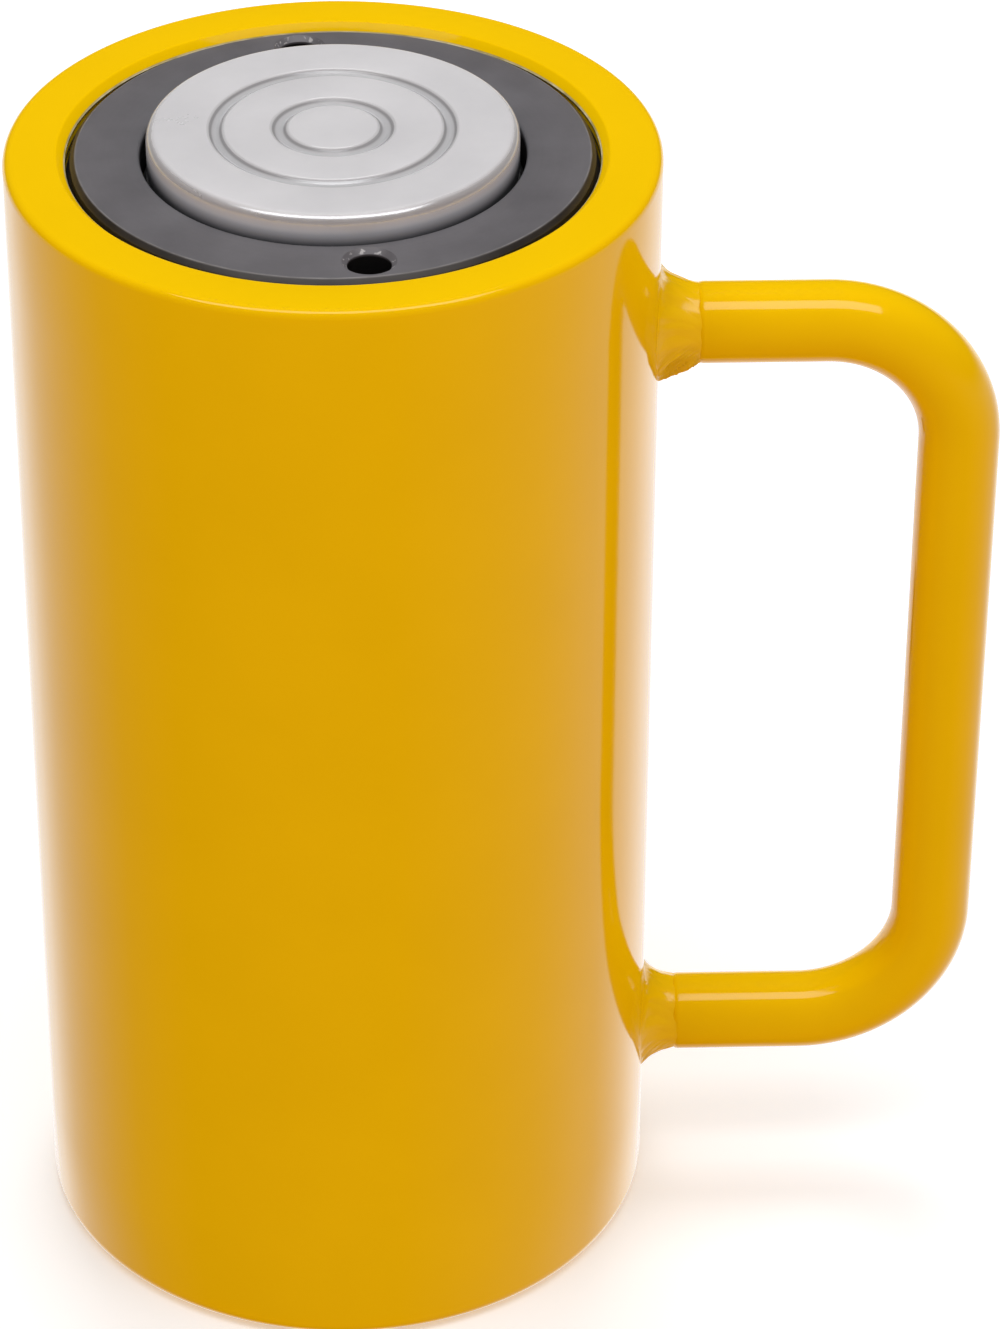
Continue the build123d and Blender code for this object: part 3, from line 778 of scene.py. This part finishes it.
# ------------------------------------------------------------------ floor
bpy.ops.mesh.primitive_plane_add(size=24.0, location=(0, 0, -0.0002))
floor = bpy.context.object
floor.name = "floor"
fm = bpy.data.materials.new("floor_pale")
fm.use_nodes = True
fb = fm.node_tree.nodes["Principled BSDF"]
fb.inputs["Base Color"].default_value = (0.915, 0.945, 0.97, 1)
fb.inputs["Roughness"].default_value = 0.9
fb.inputs["Specular IOR Level"].default_value = 0.0
fb.inputs["Emission Color"].default_value = (0.86, 0.95, 1.0, 1)
# the paper stays evenly pale far from the lamps
fn = fm.node_tree
where = fn.nodes.new("ShaderNodeNewGeometry")
far = fn.nodes.new("ShaderNodeVectorMath")
far.operation = "LENGTH"
fn.links.new(where.outputs["Position"], far.inputs[0])
glow = fn.nodes.new("ShaderNodeMapRange")
glow.interpolation_type = "SMOOTHSTEP"
glow.inputs["From Min"].default_value = 0.45
glow.inputs["From Max"].default_value = 2.0
glow.inputs["To Min"].default_value = 0.27
glow.inputs["To Max"].default_value = 0.95
fn.links.new(far.outputs["Value"], glow.inputs["Value"])
fn.links.new(glow.outputs["Result"], fb.inputs["Emission Strength"])
give(floor, fm)
floor.visible_glossy = False
floor.visible_diffuse = False

# ------------------------------------------------------------------ light
world = bpy.data.worlds.new("studio")
scene.world = world
world.use_nodes = True
nt = world.node_tree
nt.nodes.clear()
tc = nt.nodes.new("ShaderNodeTexCoord")
sep = nt.nodes.new("ShaderNodeSeparateXYZ")
nt.links.new(tc.outputs["Generated"], sep.inputs[0])


def wmath(op, a, b=None):
    n = nt.nodes.new("ShaderNodeMath")
    n.operation = op
    for i, v in enumerate((a, b)):
        if v is None:
            continue
        if isinstance(v, (int, float)):
            n.inputs[i].default_value = v
        else:
            nt.links.new(v, n.inputs[i])
    return n.outputs[0]


neg_y = wmath("MULTIPLY", sep.outputs[1], -1.0)
az = wmath("ARCTAN2", sep.outputs[0], neg_y)
fac = wmath("ADD", wmath("MULTIPLY", az, 0.5 / math.pi), 0.5)
ramp = nt.nodes.new("ShaderNodeValToRGB")
stops = [(-180, 0.82), (-156, 0.90), (-149, 0.97), (-139, 0.86), (-131, 0.71), (-113, 0.44), (-100, 0.235), (-88, 0.085), (-77, 0.041),
         (-60, 0.0), (20, 0.0), (40, 0.04), (56, 0.089), (76, 0.19), (86, 0.285), (98, 0.415), (111, 0.50), (120, 0.66), (130, 0.83), (140, 0.97),
         (148, 0.99), (160, 0.90), (180, 0.82)]
e = ramp.color_ramp.elements
while len(e) < len(stops):
    e.new(0.5)
for el, (a, v) in zip(e, stops):
    el.position = a / 360 + 0.5
    el.color = (v, v, v, 1)
nt.links.new(fac, ramp.inputs["Fac"])
# the pale surroundings reach a little above the horizon behind; straight down is dim
elev = wmath("ARCSINE", sep.outputs[2])
up = nt.nodes.new("ShaderNodeMapRange")
up.interpolation_type = "SMOOTHSTEP"
up.inputs["From Min"].default_value = math.radians(-10)
up.inputs["From Max"].default_value = math.radians(4)
up.inputs["To Min"].default_value = 1.0
up.inputs["To Max"].default_value = 0.02
nt.links.new(elev, up.inputs["Value"])
dn = nt.nodes.new("ShaderNodeMapRange")
dn.inputs["From Min"].default_value = math.radians(-84)
dn.inputs["From Max"].default_value = math.radians(-50)
dn.inputs["To Min"].default_value = 0.25
dn.inputs["To Max"].default_value = 1.0
nt.links.new(elev, dn.inputs["Value"])
glossy = wmath("MULTIPLY", wmath("MULTIPLY", wmath("MULTIPLY", ramp.outputs["Color"], 1.4), up.outputs[0]), dn.outputs[0])
lp = nt.nodes.new("ShaderNodeLightPath")
AMBIENT = 0.76
# ambient fill for diffuse light, pale surroundings for gloss, white behind the object
front = wmath("MULTIPLY", wmath("MAXIMUM", neg_y, 0.0), 0.20)
behind = wmath("MULTIPLY", wmath("MAXIMUM", sep.outputs[1], 0.0), -1.15)
side = wmath("ADD", wmath("ADD", wmath("ADD", front, behind), 0.90), wmath("MULTIPLY", sep.outputs[0], 0.09))
side = wmath("MAXIMUM", side, 0.0)
fill = wmath("MULTIPLY", wmath("MULTIPLY", lp.outputs["Is Diffuse Ray"], side), AMBIENT)
gl = wmath("MULTIPLY", lp.outputs["Is Glossy Ray"], glossy)
cam_ = wmath("MULTIPLY", lp.outputs["Is Camera Ray"], 1.0)
fill = wmath("MULTIPLY", fill, wmath("SUBTRACT", 1.0, wmath("MULTIPLY", sep.outputs[2], 0.25)))
strength = wmath("ADD", wmath("ADD", fill, gl), cam_)
bg = nt.nodes.new("ShaderNodeBackground")
nt.links.new(strength, bg.inputs["Strength"])
# diffuse fill: neutral from above, warmer from the front and from below
tint = nt.nodes.new("ShaderNodeMapRange")
tint.interpolation_type = "SMOOTHSTEP"
tint.inputs["From Min"].default_value = 0.35
tint.inputs["From Max"].default_value = 0.95
nt.links.new(sep.outputs[2], tint.inputs["Value"])
warm = nt.nodes.new("ShaderNodeMix")
warm.data_type = "RGBA"
warm.inputs[6].default_value = (1.0, 0.735, 0.68, 1)
warm.inputs[7].default_value = (1.0, 1.0, 1.0, 1)
nt.links.new(wmath("MAXIMUM", tint.outputs["Result"], wmath("SUBTRACT", 1.0, lp.outputs["Is Diffuse Ray"])), warm.inputs["Factor"])
nt.links.new(warm.outputs[2], bg.inputs["Color"])
wo = nt.nodes.new("ShaderNodeOutputWorld")
nt.links.new(bg.outputs[0], wo.inputs["Surface"])


def softbox(name, at, look, size, radiance, spread=180):
    d = bpy.data.lights.new(name, "AREA")
    d.shape = "RECTANGLE"
    d.size, d.size_y = size
    d.energy = radiance * math.pi * size[0] * size[1]
    d.spread = math.radians(spread)
    ob = bpy.data.objects.new(name, d)
    scene.collection.objects.link(ob)
    ob.location = at
    ob.rotation_euler = (Vector(look) - Vector(at)).to_track_quat("-Z", "Y").to_euler()
    return ob


# overhead softbox, a little in front of the object
el = math.radians(76)
dist = 1.6
softbox("overhead", (0, -dist * math.cos(el), 0.12 + dist * math.sin(el)), (0, 0, 0.12), (2.0, 0.62), 2.6)

# a second overhead bank, behind: it lifts the upward faces and leaves no reflection
bank = softbox("overhead_fill", (0, 0.95, 1.9), (0, 0, 0.1), (1.0, 1.0), 5.0)
bank.visible_glossy = False

# a low rear bank for the side away from the camera
rear = softbox("rear_fill", (0.0, 2.2, 0.34), (0, 0, 0.13), (1.4, 0.7), 7.0)
rear.data.color = (1.0, 0.83, 0.77)
rear.visible_glossy = False

# ------------------------------------------------------------------ camera
K = 0.0635
D, EL, YAW, PITCH, ROLL, HH = 17.0623, math.radians(33.9676), math.radians(2.0973), math.radians(33.832), math.radians(-0.3382), 3.8649
C = Vector((0, -D * math.cos(EL), D * math.sin(EL) + HH / 2)) * K
fwd = Vector((math.sin(YAW) * math.cos(PITCH), math.cos(YAW) * math.cos(PITCH), -math.sin(PITCH)))
right = Vector((math.cos(YAW), -math.sin(YAW), 0))
down = fwd.cross(right)
r2 = right * math.cos(ROLL) + down * math.sin(ROLL)
d2 = down * math.cos(ROLL) - right * math.sin(ROLL)
cam = bpy.data.cameras.new("camera")
cam.sensor_width = 36.0
cam.sensor_fit = "AUTO"
cam.lens = 5285.28 / 1329 * 36
cam.clip_start = 0.05
cam.clip_end = 30
co = bpy.data.objects.new("camera", cam)
scene.collection.objects.link(co)
up_, back = -d2, -fwd
co.matrix_world = Matrix(((r2.x, up_.x, back.x, C.x), (r2.y, up_.y, back.y, C.y), (r2.z, up_.z, back.z, C.z), (0, 0, 0, 1)))
scene.camera = co

scene.view_settings.view_transform = "Standard"
scene.view_settings.look = "None"
scene.view_settings.exposure = 0.0
scene.view_settings.gamma = 1.0
